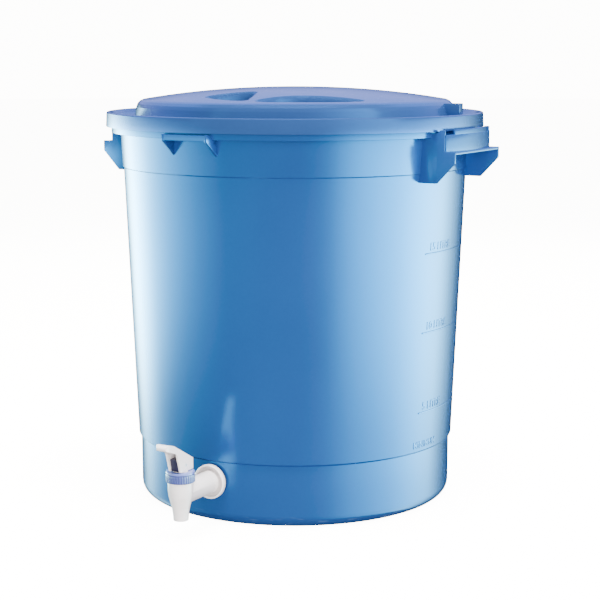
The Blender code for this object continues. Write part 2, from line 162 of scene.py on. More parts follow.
class NodeBench:
    """Builds the nodes of one material."""

    def __init__(self, name: str) -> None:
        """Starts a material of that name with a bare Principled shader."""
        self.material = bpy.data.materials.new(name)
        self.material.use_nodes = True
        self.tree = self.material.node_tree
        self.shader = self.tree.nodes["Principled BSDF"]

    def node(self, kind: str, settings: dict[str, Any] | None = None,
             inputs: dict[int | str, Any] | None = None, output: int | str = 0) -> Sock:
        """Adds any node.

        Args:
            kind: the node's type without its Shader prefix, such as TexNoise.
            settings: properties set first; "stops" fills a colour ramp with (place, colour).
            inputs: values or links of its sockets.
            output: the output to hand back.

        Returns:
            That output.
        """
        made = self.tree.nodes.new("ShaderNode" + kind)
        for key, value in (settings or {}).items():
            if key != "stops":
                setattr(made, key, value)
                continue
            ramp = made.color_ramp
            while len(ramp.elements) < len(value):
                ramp.elements.new(1.0)
            for element, (place, colour) in zip(ramp.elements, value):
                element.position = place
                element.color = (*colour, 1.0)
        for key, value in (inputs or {}).items():
            if isinstance(value, Sock):
                self.tree.links.new(value.socket, made.inputs[key])
            else:
                made.inputs[key].default_value = value
        return Sock(self.tree, made.outputs[output])

    def place(self) -> Sock:
        """Object coordinates."""
        return self.node("TexCoord", output="Object")

    def height(self) -> Sock:
        """The height above the base, in metres."""
        return self.node("SeparateXYZ", inputs={0: self.place()}, output=2)

    def noise(self, scale: float, detail: float = 3.0, stretch: Corner = (1.0, 1.0, 1.0)) -> Sock:
        """Noise of that scale, from 0 to 1, stretched along the axes."""
        mapped = self.node("Mapping", inputs={"Vector": self.place(), "Scale": stretch})
        return self.node("TexNoise", inputs={"Vector": mapped, "Scale": scale, "Detail": detail})

    def window(self, value: Sock, low: float, high: float) -> Sock:
        """A value brought from low..high to 0..1 and clamped."""
        return self.node("MapRange", inputs={0: value, 1: low, 2: high, 3: 0.0, 4: 1.0})

    def mix(self, factor: Sock | float, first: Sock | Colour, second: Sock | Colour) -> Sock:
        """A colour between two colours."""
        sides = [(*side, 1.0) if isinstance(side, tuple) else side for side in (first, second)]
        return self.node("Mix", {"data_type": "RGBA"}, {0: factor, 6: sides[0], 7: sides[1]}, 2)

    def bump(self, height: Sock, strength: float, distance: float) -> None:
        """Raises the surface by a height pattern."""
        self.link("Normal", self.node("Bump", inputs={
            "Height": height, "Strength": strength, "Distance": distance}))

    def link(self, entry: str, value: Sock) -> None:
        """Links a value to one of the shader's inputs."""
        self.tree.links.new(value.socket, self.shader.inputs[entry])

    def fix(self, **values: float | tuple[float, ...]) -> None:
        """Sets the shader's constant inputs; an underscore stands for a space."""
        for key, value in values.items():
            self.shader.inputs[key.replace("_", " ")].default_value = value


def shade(colour: Colour, by: float) -> Colour:
    """A colour made darker or lighter by a factor."""
    return tuple(min(1.0, part * by) for part in colour)


# ---------------------------------------------------------------- finishes


@dataclass(frozen=True)
class Finish:
    """A moulded plastic with faint mottling, uneven gloss and a fine moulded grain."""

    name: str
    colour: Colour
    roughness: float
    mottle: float = 0.06
    grain: float = 0.03
    coat: float = 0.0
    specular: float = 0.5
    index: float = 1.5
    tint: Colour = (1.0, 1.0, 1.0)

    def patches(self, bench: NodeBench) -> Sock:
        """The colour: broad soft patches with fine specks over them."""
        broad = bench.noise(9.0, 4.0)
        fine = bench.noise(420.0, 2.0)
        blend = bench.window(broad * 0.7 + fine * 0.3, 0.3, 0.7)
        return bench.mix(blend, shade(self.colour, 1.0 - self.mottle), shade(self.colour, 1.0 + self.mottle))

    def gloss(self, bench: NodeBench) -> Sock:
        """The roughness: handling smears over the moulded gloss."""
        smear = bench.window(bench.noise(26.0, 5.0, (1.0, 1.0, 0.4)), 0.35, 0.75)
        return smear * (self.roughness * 0.35) + self.roughness * 0.85

    def relief(self, bench: NodeBench) -> Sock:
        """The height pattern of the moulded surface."""
        return bench.noise(900.0, 2.0) * 0.6 + bench.noise(60.0, 3.0) * 0.4

    def make(self) -> bpy.types.Material:
        """The finished material."""
        bench = NodeBench(self.name)
        bench.link("Base Color", self.patches(bench))
        bench.link("Roughness", self.gloss(bench))
        bench.bump(self.relief(bench), self.grain, 0.0004)
        bench.fix(Coat_Weight=self.coat, Coat_Roughness=0.06, Specular_IOR_Level=self.specular, IOR=self.index,
                  Specular_Tint=(*self.tint, 1.0))
        return bench.material


@dataclass(frozen=True)
class BucketPlastic(Finish):
    """Glossy blue polypropylene, faintly scuffed round the heel, with a blue cast in its gloss."""

    scuff: Colour = (0.16, 0.26, 0.45)

    def patches(self, bench: NodeBench) -> Sock:
        """Mottled blue with short pale scuffs near the base."""
        base = Finish.patches(self, bench)
        low = 1.0 - bench.window(bench.height(), 0.001, 0.012)
        scratches = bench.window(bench.noise(70.0, 6.0, (1.0, 1.0, 5.0)), 0.56, 0.72)
        return bench.mix(scratches * low * 0.35, base, self.scuff)

    def relief(self, bench: NodeBench) -> Sock:
        """A fine grain over the slow waves of a large moulding."""
        waves = bench.noise(14.0, 2.0, (1.0, 1.0, 0.35))
        return bench.noise(900.0, 2.0) * 0.4 + waves * 0.6


@dataclass(frozen=True)
class TapPlastic(Finish):
    """White moulded plastic with faint warm spots, and painted shade in the dish of the tap's flange."""

    # one colour for the faint warm spots and for the painted shade in the flange's dish
    spot_and_dish_shade: Colour = (0.30, 0.24, 0.23)
    dish_out: float = 0.1508
    dish_radius: float = 0.0137
    axis_z: float = 0.0386

    def patches(self, bench: NodeBench) -> Sock:
        """White with faint warm spots and a warm grey ring of painted shade inside the flange."""
        base = Finish.patches(self, bench)
        spots = bench.window(bench.noise(190.0, 5.0), 0.55, 0.8)
        centred = bench.node("VectorMath", {"operation": "ADD"}, {0: bench.place(), 1: (0.0, 0.0, -self.axis_z)})
        flat = bench.node("VectorMath", {"operation": "MULTIPLY"}, {0: centred, 1: (1.0, 0.0, 1.0)})
        reach = bench.node("VectorMath", {"operation": "LENGTH"}, {0: flat}, "Value")
        out = bench.node("SeparateXYZ", inputs={0: bench.place()}, output=1) * -1.0
        # painted shade: a warm grey ring on the floor of the flange's dish, inside its rim
        inside = 1.0 - bench.window(reach, self.dish_radius - 0.0003, self.dish_radius + 0.0002)
        deep = 1.0 - bench.window(out, self.dish_out - 0.0006, self.dish_out + 0.0008)
        return bench.mix(inside * deep * 0.5 + spots * 0.1, base, self.spot_and_dish_shade)


@dataclass(frozen=True)
class CollarPlastic(Finish):
    """Ribbed blue plastic, with painted light on the plain upper lip and painted highlights on each rib's crest."""

    # the pale colour of the painted light on the lip and the painted highlights on each rib's crest
    lip: Colour = (0.13, 0.17, 0.46)
    lip_z: float = 0.0571
    crest_radius: float = 0.0123
    middle_y: float = -0.195

    def patches(self, bench: NodeBench) -> Sock:
        """Deep blue between the ribs, with painted highlights on each rib's crest and painted light on the lip."""
        base = Finish.patches(self, bench)
        centred = bench.node("VectorMath", {"operation": "ADD"}, {0: bench.place(), 1: (0.0, -self.middle_y, 0.0)})
        flat = bench.node("VectorMath", {"operation": "MULTIPLY"}, {0: centred, 1: (1.0, 1.0, 0.0)})
        reach = bench.node("VectorMath", {"operation": "LENGTH"}, {0: flat}, "Value")
        crest_highlights = bench.window(reach, self.crest_radius - 0.0005, self.crest_radius + 0.0002)
        upper = bench.window(bench.height(), self.lip_z - 0.0002, self.lip_z + 0.0002)
        # painted highlight: the lip fully and each rib's crest faintly lightened towards the pale colour
        return bench.mix(upper + crest_highlights * 0.35, base, self.lip)


@dataclass(frozen=True)
class Steel(Finish):
    """Drawn stainless wire and turned pins with fine lines."""

    def make(self) -> bpy.types.Material:
        """The finished material."""
        bench = NodeBench(self.name)
        lines = bench.noise(1600.0, 2.0, (1.0, 1.0, 0.1))
        bench.link("Base Color", bench.mix(lines, shade(self.colour, 0.86), self.colour))
        bench.link("Roughness", lines * 0.18 + self.roughness)
        bench.bump(lines, self.grain, 0.0001)
        bench.fix(Metallic=1.0)
        return bench.material


@dataclass(frozen=True)
class SoftSeal(Finish):
    """Rubber or silicone with a dusty bloom."""

    bloom: Colour = (0.3, 0.3, 0.31)

    def patches(self, bench: NodeBench) -> Sock:
        """The base colour under a broken pale bloom."""
        base = Finish.patches(self, bench)
        return bench.mix(bench.window(bench.noise(300.0, 6.0), 0.5, 0.75) * 0.2, base, self.bloom)


# ---------------------------------------------------------------- modelling moves


def rounded(corners: Sequence[Point | Corner], pieces: int = 4) -> list[Point]:
    """A chain of points with its corners rounded.

    Args:
        corners: (x, y) or (x, y, radius) points.
        pieces: straight pieces in each rounding.

    Returns:
        The chain's points.
    """
    chain: list[Point] = []
    for index, corner in enumerate(corners):
        here = Vector(corner[:2])
        if len(corner) < 3 or index in (0, len(corners) - 1):
            chain.append(tuple(here))
            continue
        back = Vector(corners[index - 1][:2]) - here
        ahead = Vector(corners[index + 1][:2]) - here
        half = back.angle(ahead) / 2.0
        cut = min(corner[2] / math.tan(half), 0.48 * back.length, 0.48 * ahead.length)
        radius = cut * math.tan(half)
        middle = here + (back.normalized() + ahead.normalized()).normalized() * (radius / math.sin(half))
        start = here + back.normalized() * cut - middle
        end = here + ahead.normalized() * cut - middle
        sweep = start.angle_signed(end)
        for step in range(pieces + 1):
            turn = -sweep * step / pieces
            chain.append((middle.x + start.x * math.cos(turn) - start.y * math.sin(turn),
                          middle.y + start.x * math.sin(turn) + start.y * math.cos(turn)))
    return chain


def arc(centre_r: float, centre_z: float, radius: float, start: float, end: float, count: int) -> list[Point]:
    """Points of an arc in a turned profile; 0 degrees is outwards, 90 degrees is up."""
    turns = [math.radians(start + (end - start) * step / count) for step in range(count + 1)]
    return [(centre_r + radius * math.cos(turn), centre_z + radius * math.sin(turn)) for turn in turns]


def sector(inner: float, outer: float, half_deg: float, count: int = 24) -> list[Point]:
    """The outline of a slice of a ring in plan, centred on +X."""
    return (arc(0.0, 0.0, outer, -half_deg, half_deg, count)
            + arc(0.0, 0.0, inner, half_deg, -half_deg, count))


def turn_z(degrees: float) -> Matrix:
    """A turn about the bucket's axis."""
    return Matrix.Rotation(math.radians(degrees), 4, "Z")


class Workshop:
    """Modelling moves, each on one piece at a time."""

    @staticmethod
    def pick(piece: bpy.types.Object | None) -> None:
        """Selects one piece alone, or nothing."""
        if bpy.context.object and bpy.context.object.mode != "OBJECT":
            bpy.ops.object.mode_set(mode="OBJECT")
        bpy.ops.object.select_all(action="DESELECT")
        if piece:
            piece.select_set(True)
            bpy.context.view_layer.objects.active = piece

    @classmethod
    def chain(cls, name: str, points: Sequence[Sequence[float]]) -> bpy.types.Object:
        """Draws a chain of edges by extruding one vertex, and leaves it open in edit mode.

        Args:
            name: the piece's name.
            points: the places that the chain visits.

        Returns:
            The piece.
        """
        cls.pick(None)
        bpy.ops.mesh.primitive_plane_add(size=0.01, location=(0.0, 0.0, 0.0))
        piece = bpy.context.object
        piece.name = piece.data.name = name
        bpy.ops.object.mode_set(mode="EDIT")
        bpy.ops.mesh.select_all(action="SELECT")
        bpy.ops.mesh.merge(type="CENTER")
        bpy.ops.transform.translate(value=points[0])
        for before, after in zip(points, points[1:]):
            step = tuple(b - a for a, b in zip(before, after))
            bpy.ops.mesh.extrude_vertices_move(TRANSFORM_OT_translate={"value": step})
        bpy.ops.mesh.select_all(action="SELECT")
        return piece

    @classmethod
    def close(cls, piece: bpy.types.Object, place: Matrix | None = None, angle: float = 32.0) -> bpy.types.Object:
        """Merges doubles, turns faces outwards, leaves edit mode and puts the place into the mesh.

        Args:
            piece: the piece, in edit mode.
            place: where it goes, if not where it was drawn.
            angle: the edge angle in degrees from which the shading breaks.

        Returns:
            The piece.
        """
        bpy.ops.mesh.select_all(action="SELECT")
        bpy.ops.mesh.remove_doubles(threshold=MERGE)
        bpy.ops.mesh.normals_make_consistent(inside=False)
        bpy.ops.object.mode_set(mode="OBJECT")
        cls.pick(piece)
        if place is not None:
            piece.matrix_world = place
            bpy.ops.object.transform_apply(location=True, rotation=True, scale=True)
        bpy.ops.object.shade_smooth_by_angle(angle=math.radians(angle))
        return piece

    @classmethod
    def turned(cls, name: str, profile: Sequence[Point], steps: int, place: Matrix | None = None,
               angle: float = 32.0) -> bpy.types.Object:
        """A solid of revolution spun from (radius, height) points."""
        piece = cls.chain(name, [(r, 0.0, z) for r, z in profile])
        bpy.ops.mesh.spin(steps=steps, angle=2.0 * math.pi, center=(0.0, 0.0, 0.0), axis=(0.0, 0.0, 1.0))
        return cls.close(piece, place, angle)

    @classmethod
    def plate(cls, name: str, outline: Sequence[Point], low: float, high: float,
              place: Matrix | None = None, edge: float = 0.0, segments: int = 2) -> bpy.types.Object:
        """A flat outline made solid between two heights, with its edges eased.

        Args:
            name: the piece's name.
            outline: (x, y) points in order.
            low: the lower height.
            high: the upper height.
            place: where it goes.
            edge: how far its sharp edges are bevelled.
            segments: faces across the bevel.

        Returns:
            The piece.
        """
        piece = cls.chain(name, [(x, y, low) for x, y in (*outline, outline[0])])
        bpy.ops.mesh.remove_doubles(threshold=MERGE)
        bpy.ops.mesh.edge_face_add()
        bpy.ops.mesh.extrude_region_move(TRANSFORM_OT_translate={"value": (0.0, 0.0, high - low)})
        bpy.ops.mesh.select_all(action="SELECT")
        bpy.ops.mesh.normals_make_consistent(inside=False)
        if edge:
            bpy.ops.mesh.select_all(action="DESELECT")
            bpy.ops.mesh.select_mode(type="EDGE")
            bpy.ops.mesh.edges_select_sharp(sharpness=math.radians(25.0))
            bpy.ops.mesh.bevel(offset=edge, segments=segments, profile=0.5, affect="EDGES", clamp_overlap=True)
            bpy.ops.mesh.select_mode(type="VERT")
        return cls.close(piece, place)

    @classmethod
    def combine(cls, target: bpy.types.Object, tool: bpy.types.Object, how: Join) -> None:
        """Adds, cuts or keeps one solid by another, which is used up."""
        cls.pick(target)
        change = target.modifiers.new(how.name.title(), "BOOLEAN")
        change.operation = how.value
        change.solver = "EXACT"
        change.object = tool
        bpy.ops.object.modifier_apply(modifier=change.name)
        bpy.data.objects.remove(tool, do_unlink=True)
        bpy.ops.object.shade_smooth_by_angle(angle=math.radians(32.0))

    @classmethod
    def ease(cls, piece: bpy.types.Object, edge: float, segments: int = 2, limit: float = 35.0) -> None:
        """Bevels a piece's sharp edges with a modifier and applies it."""
        cls.pick(piece)
        bevel = piece.modifiers.new("Eased", "BEVEL")
        bevel.width = edge
        bevel.segments = segments
        bevel.limit_method = "ANGLE"
        bevel.angle_limit = math.radians(limit)
        bpy.ops.object.modifier_apply(modifier=bevel.name)
        bpy.ops.object.shade_smooth_by_angle(angle=math.radians(32.0))

    @classmethod
    def join(cls, pieces: Sequence[bpy.types.Object], name: str) -> bpy.types.Object:
        """Gathers several solids into the first one's object."""
        cls.pick(pieces[0])
        for piece in pieces:
            piece.select_set(True)
        bpy.ops.object.join()
        pieces[0].name = pieces[0].data.name = name
        return pieces[0]

    @staticmethod
    def move_vertices(piece: bpy.types.Object, rule: Callable[[np.ndarray], np.ndarray]) -> None:
        """Moves every vertex by a rule on an array of places."""
        count = len(piece.data.vertices)
        places = np.empty(count * 3)
        piece.data.vertices.foreach_get("co", places)
        piece.data.vertices.foreach_set("co", rule(places.reshape(count, 3)).ravel())
        piece.data.update()


def finish_piece(piece: bpy.types.Object, body: Body, slot: Slot, material: bpy.types.Material,
                 *nodes: str) -> bpy.types.Object:
    """Dresses a piece, ties it to its body and hides the frame's nodes that it replaces.

    Args:
        piece: the finished mesh.
        body: the body that it moves with.
        slot: not used.
        material: its material.
        nodes: the frame's nodes that it replaces.

    Returns:
        The piece.
    """
    piece.data.materials.clear()
    piece.data.materials.append(material)
    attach(piece, body.value)
    if nodes:
        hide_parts(*nodes)
    LOG.info("%s: %d faces on %s", piece.name, len(piece.data.polygons), body.value)
    return piece


# ---------------------------------------------------------------- bucket


@dataclass
class Bucket:
    """The blue moulding: wall, rim, two hand grips, the small lug and the raised litre marks."""

    steps: int = 256
    wall: float = 0.0022
    foot_radius: float = 0.1451
    heel: float = 0.0112
    lower_step: Point = (0.1475, 0.0568)
    upper_step: Point = (0.1579, 0.3060)
    band_radius: float = 0.1587
    rim_radius: float = 0.1603
    rim_z: float = 0.3490
    lip_radius: float = 0.1685
    lip_low: float = 0.3370
    floor_z: float = 0.0052
    tap_z: float = 0.0386
    hole_radius: float = 0.0093
    grip_half: float = 0.0468
    grip_out: float = 0.1833
    apron_radius: float = 0.1808
    sheet: float = 0.0024
    lug_turn: float = -92.4
    lug_half: float = 0.0221
    lug_out: float = 0.1738
    lug_top: float = 0.3412
    mark_heights: tuple[tuple[str, float], ...] = (
        ("5 LITRE", 0.0925), ("10 LITRE", 0.1650), ("15 LITRE", 0.2355))

    def wall_radius(self, height: np.ndarray | float) -> np.ndarray | float:
        """The outer radius of the long tapered wall at a height."""
        (low_r, low_z), (high_r, high_z) = self.lower_step, self.upper_step
        return low_r + (height - low_z) * (high_r - low_r) / (high_z - low_z)

    def profile(self) -> list[Point]:
        """The wall's closed section, from the inside of the base round to its underside."""
        inner_foot = self.foot_radius - self.wall
        (low_r, low_z), (high_r, high_z) = self.lower_step, self.upper_step
        lip, rim, top = self.lip_radius, self.rim_radius, self.rim_z
        inside = [
            (0.0, self.floor_z), (inner_foot, self.floor_z, 0.0112), (inner_foot, low_z - 0.0008, 0.0006),
            (low_r - self.wall, low_z + 0.0012, 0.0006), (high_r - self.wall, high_z - 0.0005, 0.0005),
            (self.band_radius - self.wall, high_z + 0.0005, 0.0005),
            (rim - self.wall, top, 0.0012), (lip, top, 0.0022), (lip, self.lip_low, 0.0005),
            (lip - self.wall, self.lip_low, 0.0004), (lip - self.wall, top - self.wall, 0.0009),
            (rim, top - self.wall, 0.0009), (rim, self.lip_low, 0.002), (self.band_radius, high_z + 0.0003, 0.0004),
            (high_r, high_z - 0.0006, 0.0005), (low_r, low_z + 0.0006, 0.0006),
            (self.foot_radius + 0.0002, low_z - 0.0010, 0.0006), (self.foot_radius, 0.0, self.heel),
            (0.1220, 0.0, 0.0005), (0.1205, 0.0022, 0.0005), (0.0465, 0.0022, 0.0005), (0.0450, 0.0, 0.0005),
            (0.0, 0.0),
        ]
        return rounded(inside, 6)

    def web(self) -> list[Point]:
        """A grip's web as (outwards, height) points."""
        out, shelf, crest = self.grip_out + 0.0003, 0.3257, 0.3439
        return rounded([
            (0.1498, 0.2990), (0.1505, 0.2984), (0.1665, 0.2984, 0.0015), (out, 0.3162, 0.0012), (out, shelf),
            (0.1739, shelf), (0.1739, crest), (0.1695, crest), (0.1686, 0.3425), (0.1670, 0.3417),
            (0.1605, 0.3410), (0.1565, 0.3400), (0.1506, 0.3398),
        ], 4)

    def grip(self, name: str, turn: float) -> bpy.types.Object:
        """A hand grip: roof under the lid's band, curved apron, flat shelf and two webs."""
        place = turn_z(turn)
        radius, half = self.apron_radius, math.degrees(math.asin(self.grip_half / self.apron_radius))
        shelf = [(self.grip_out, -self.grip_half), (self.grip_out, self.grip_half)]
        shelf += arc(0.0, 0.0, 0.1790, half, -half, 16)
        side = half - 0.15
        body = Workshop.plate(name, sector(radius - self.sheet, radius, half), 0.3232, 0.3400, place, 0.0005)
        parts = [
            Workshop.plate("roof", sector(0.1592, 0.1794, side), 0.3370, 0.3392, place, 0.0004),
            Workshop.plate("crest", sector(radius - self.sheet + 0.0002, radius - 0.0004, 11.0),
                           0.3382, 0.3442, place, 0.0006),
            Workshop.plate("shelf", shelf, 0.3233, 0.3254, place, 0.0004),
        ]
        for sign in (-1.0, 1.0):
            offset = -sign * self.grip_half
            parts.append(Workshop.plate("web", self.web(), offset - self.sheet / 2, offset + self.sheet / 2,
                                        place @ UPRIGHT, 0.0005))
        for part in parts:
            Workshop.combine(body, part, Join.ADD)
        return body

    def lug(self) -> bpy.types.Object:
        """The small lug above the tap: a plate, a front lip and two pointed webs."""
        place, half, out, top = turn_z(self.lug_turn), self.lug_half, self.lug_out, self.lug_top
        plate = [(0.1590, -half), (out, -half), (out, half), (0.1590, half)]
        lip = [(out - self.sheet, -half), (out, -half), (out, half), (out - self.sheet, half)]
        body = Workshop.plate("lug", plate, top - 0.0022, top, place, 0.0004)
        parts = [Workshop.plate("lip", lip, top - 0.0052, top - 0.0001, place, 0.0004)]
        web = [(0.1578, 0.3228), (0.1586, 0.3234), (out + 0.0003, 0.3357), (out + 0.0003, top + 0.0003),
               (0.1590, top + 0.0003)]
        for sign in (-1.0, 1.0):
            offset = sign * half
            parts.append(Workshop.plate("web", web, offset - self.sheet / 2, offset + self.sheet / 2,
                                        place @ UPRIGHT, 0.0004))
        for part in parts:
            Workshop.combine(body, part, Join.ADD)
        return body

    def lettering(self, words: str, size: float, low: float, start: float) -> bpy.types.Object:
        """Raised letters wrapped onto the wall under the +X grip.

        Args:
            words: what they say.
            size: the letters' size.
            low: the height of their foot.
            start: where they begin, in degrees round from +X.

        Returns:
            The piece.
        """
        Workshop.pick(None)
        bpy.ops.object.text_add(location=(0.0, 0.0, 0.0))
        text = bpy.context.object
        text.data.body = words
        text.data.size = size
        text.data.extrude = 0.0003
        text.data.bevel_depth = 0.00006
        text.data.offset = 0.00008
        bpy.ops.object.convert(target="MESH")

        def wrap(places: np.ndarray) -> np.ndarray:
            """Bends flat letters onto the wall."""
            height = low + places[:, 1]
            radius = self.wall_radius(height) + places[:, 2]
            angle = math.radians(start) + places[:, 0] / self.wall_radius(low)
            return np.stack((radius * np.cos(angle), radius * np.sin(angle), height), axis=1)

        Workshop.move_vertices(text, wrap)
        bpy.ops.object.mode_set(mode="EDIT")
        return Workshop.close(text)

    def marks(self) -> bpy.types.Object:
        """The litre lines with their numbers, and the word over the lower step."""
        pieces = []
        for words, height in self.mark_heights:
            outer = self.wall_radius(height)
            pieces.append(Workshop.plate("line", sector(outer - 0.0006, outer + 0.0005, 13.0, 32),
                                         height - 0.0006, height + 0.0006, None, 0.0002))
            pieces.append(self.lettering(words, 0.0098, height + 0.0025, -11.0))
        pieces.append(self.lettering("MINIMUM", 0.0080, 0.0607, -15.0))
        return Workshop.join(pieces, "litre_marks")

    def build(self, material: bpy.types.Material) -> None:
        """Models and dresses the bucket's pieces."""
        body = Workshop.turned("bucket_shell", self.profile(), self.steps)
        hole = Workshop.turned("hole", [(0.0, 0.02), (self.hole_radius, 0.02), (self.hole_radius, -0.02), (0.0, -0.02)],
                               48, Matrix.Translation((0.0, -0.1440, self.tap_z)) @ UPRIGHT)
        Workshop.combine(body, hole, Join.CUT)
        finish_piece(body, Body.BUCKET, Slot.BUCKET, material, "bucket_body")
        for piece in (self.grip("grip_a", 0.0), self.grip("grip_b", 180.0), self.lug(), self.marks()):
            finish_piece(piece, Body.BUCKET, Slot.BUCKET, material)


# ---------------------------------------------------------------- lid


@dataclass
class Lid:
    """The loose lid: dome with four finger wells, gutter, outer band, plug ring and block."""

    steps: int = 384
    turn: float = 29.7
    apex: float = 0.3779
    sheet: float = 0.0023
    dome_radius: float = 0.1395
    dome_edge_z: float = 0.3668
    dome_power: float = 2.1
    gutter_z: float = 0.3516
    band_radius: float = 0.1729
    band_top: float = 0.3556
    band_low: float = 0.3425
    plug_radius: float = 0.1572
    plug_low: float = 0.3380
    well_floor: float = 0.3585
    well_slope: float = 0.0034
    side_well: tuple[Point, ...] = (
        (-0.079, -0.082), (-0.066, -0.073), (-0.050, -0.066), (-0.033, -0.064), (-0.035, -0.085),
        (-0.038, -0.106), (-0.042, -0.121), (-0.055, -0.1145), (-0.068, -0.101))
    front_well: tuple[Point, ...] = (
        (-0.036, -0.1265), (-0.019, -0.109), (0.001, -0.1005), (0.024, -0.1015), (0.045, -0.107),
        (0.062, -0.115), (0.046, -0.1245), (0.024, -0.1310), (0.000, -0.1330), (-0.020, -0.1312))

    def dome(self, radius: np.ndarray | float) -> np.ndarray | float:
        """The dome's height at a radius."""
        return self.apex - (self.apex - self.dome_edge_z) * (radius / self.dome_radius) ** self.dome_power

    def profile(self) -> list[Point]:
        """The lid's closed section, over the top and back along the underside."""
        rings = [*np.linspace(0.0, 0.048, 7), *np.linspace(0.0492, self.dome_radius, 80)]
        top = [(float(r), float(self.dome(r))) for r in rings]
        under, band, plug = self.gutter_z - self.sheet, self.band_radius, self.plug_radius
        outside = rounded([
            (self.dome_radius, self.dome_edge_z), (0.1423, 0.3655, 0.003), (0.1446, 0.3631, 0.003),
            (0.1457, 0.3600, 0.003), (0.1476, self.gutter_z, 0.0015), (0.1668, self.gutter_z, 0.0012),
            (0.1692, self.band_top, 0.0009), (band, self.band_top, 0.0013), (band + 0.0006, self.band_low, 0.0004),
            (band - 0.0014, self.band_low, 0.0004), (band - 0.0022, under, 0.0008), (plug, under, 0.0006),
            (plug - 0.0006, self.plug_low, 0.0004), (plug - self.sheet, self.plug_low, 0.0006),
            (plug - self.sheet, under, 0.0006), (0.1454, under, 0.0012), (0.1434, 0.3598, 0.002),
            (0.1424, 0.3619, 0.002), (0.1408, 0.3638, 0.002), (self.dome_radius - 0.0010, 0.3645),
        ], 5)
        inner = [*np.linspace(self.dome_radius - 0.0010, 0.0490, 46), *np.linspace(0.044, 0.0, 5)]
        below = [(float(r), float(self.dome(r)) - self.sheet) for r in inner]
        return top + outside[1:-1] + below

    @staticmethod
    def softened(outline: Sequence[Point]) -> np.ndarray:
        """A closed outline with its corners cut twice."""
        points = np.array(outline)
        for _ in range(2):
            after = np.roll(points, -1, axis=0)
            points = np.stack((0.75 * points + 0.25 * after, 0.25 * points + 0.75 * after), axis=1).reshape(-1, 2)
        return points

    @staticmethod
    def depth_inside(points: np.ndarray, outline: np.ndarray) -> np.ndarray:
        """How far points lie inside an outline; outside is negative."""
        nearest = np.full(len(points), np.inf)
        inside = np.zeros(len(points), bool)
        for start, end in zip(outline, np.roll(outline, -1, axis=0)):
            along = end - start
            share = np.clip(((points - start) @ along) / (along @ along), 0.0, 1.0)
            nearest = np.minimum(nearest, np.linalg.norm(points - start - share[:, None] * along, axis=1))
            crosses = (start[1] > points[:, 1]) != (end[1] > points[:, 1])
            rise = along[1] if along[1] else 1e-12
            inside ^= crosses & (points[:, 0] < start[0] + (points[:, 1] - start[1]) * along[0] / rise)
        return np.where(inside, nearest, -nearest)

    def sink_wells(self, places: np.ndarray) -> np.ndarray:
        """Sinks the four finger wells into the dome and its underside.

        Args:
            places: the lid's vertices.

        Returns:
            The moved vertices.
        """
        flat = places[:, :2]
        radius = np.linalg.norm(flat, axis=1)
        share = np.zeros(len(places))
        for half_turn in (0.0, 180.0):
            spin = np.array(turn_z(self.turn + half_turn).to_2x2())
            for outline in (self.side_well, self.front_well):
                depth = self.depth_inside(flat, self.softened(outline) @ spin.T) + 0.0008
                part = np.clip(depth / self.well_slope, 0.0, 1.0)
                share = np.maximum(share, part * part * (3.0 - 2.0 * part))
        top = self.dome(radius)
        sunk = top + (self.well_floor - top) * share
        on_dome = (radius < self.dome_radius - 0.0015) & (places[:, 2] > self.dome_edge_z - self.sheet - 0.0004)
        is_under = places[:, 2] < top - self.sheet * 0.5
        moved = places.copy()
        moved[on_dome, 2] = (sunk - np.where(is_under, self.sheet, 0.0))[on_dome]
        return moved

    def block(self) -> bpy.types.Object:
        """The small stop that bridges the gutter."""
        outline = [(0.1436, -0.0060), (0.1585, -0.0060), (0.1585, 0.0060), (0.1436, 0.0060)]
        return Workshop.plate("lid_block", outline, self.gutter_z - 0.0010, 0.3643, turn_z(self.turn - 21.0), 0.0007, 3)

    def build(self, material: bpy.types.Material) -> None:
        """Models and dresses the lid."""
        lid = Workshop.turned("lid_shell", self.profile(), self.steps)
        Workshop.move_vertices(lid, self.sink_wells)
        finish_piece(lid, Body.LID, Slot.LID, material, "lid")
        finish_piece(self.block(), Body.LID, Slot.LID, material)


# ---------------------------------------------------------------- tap


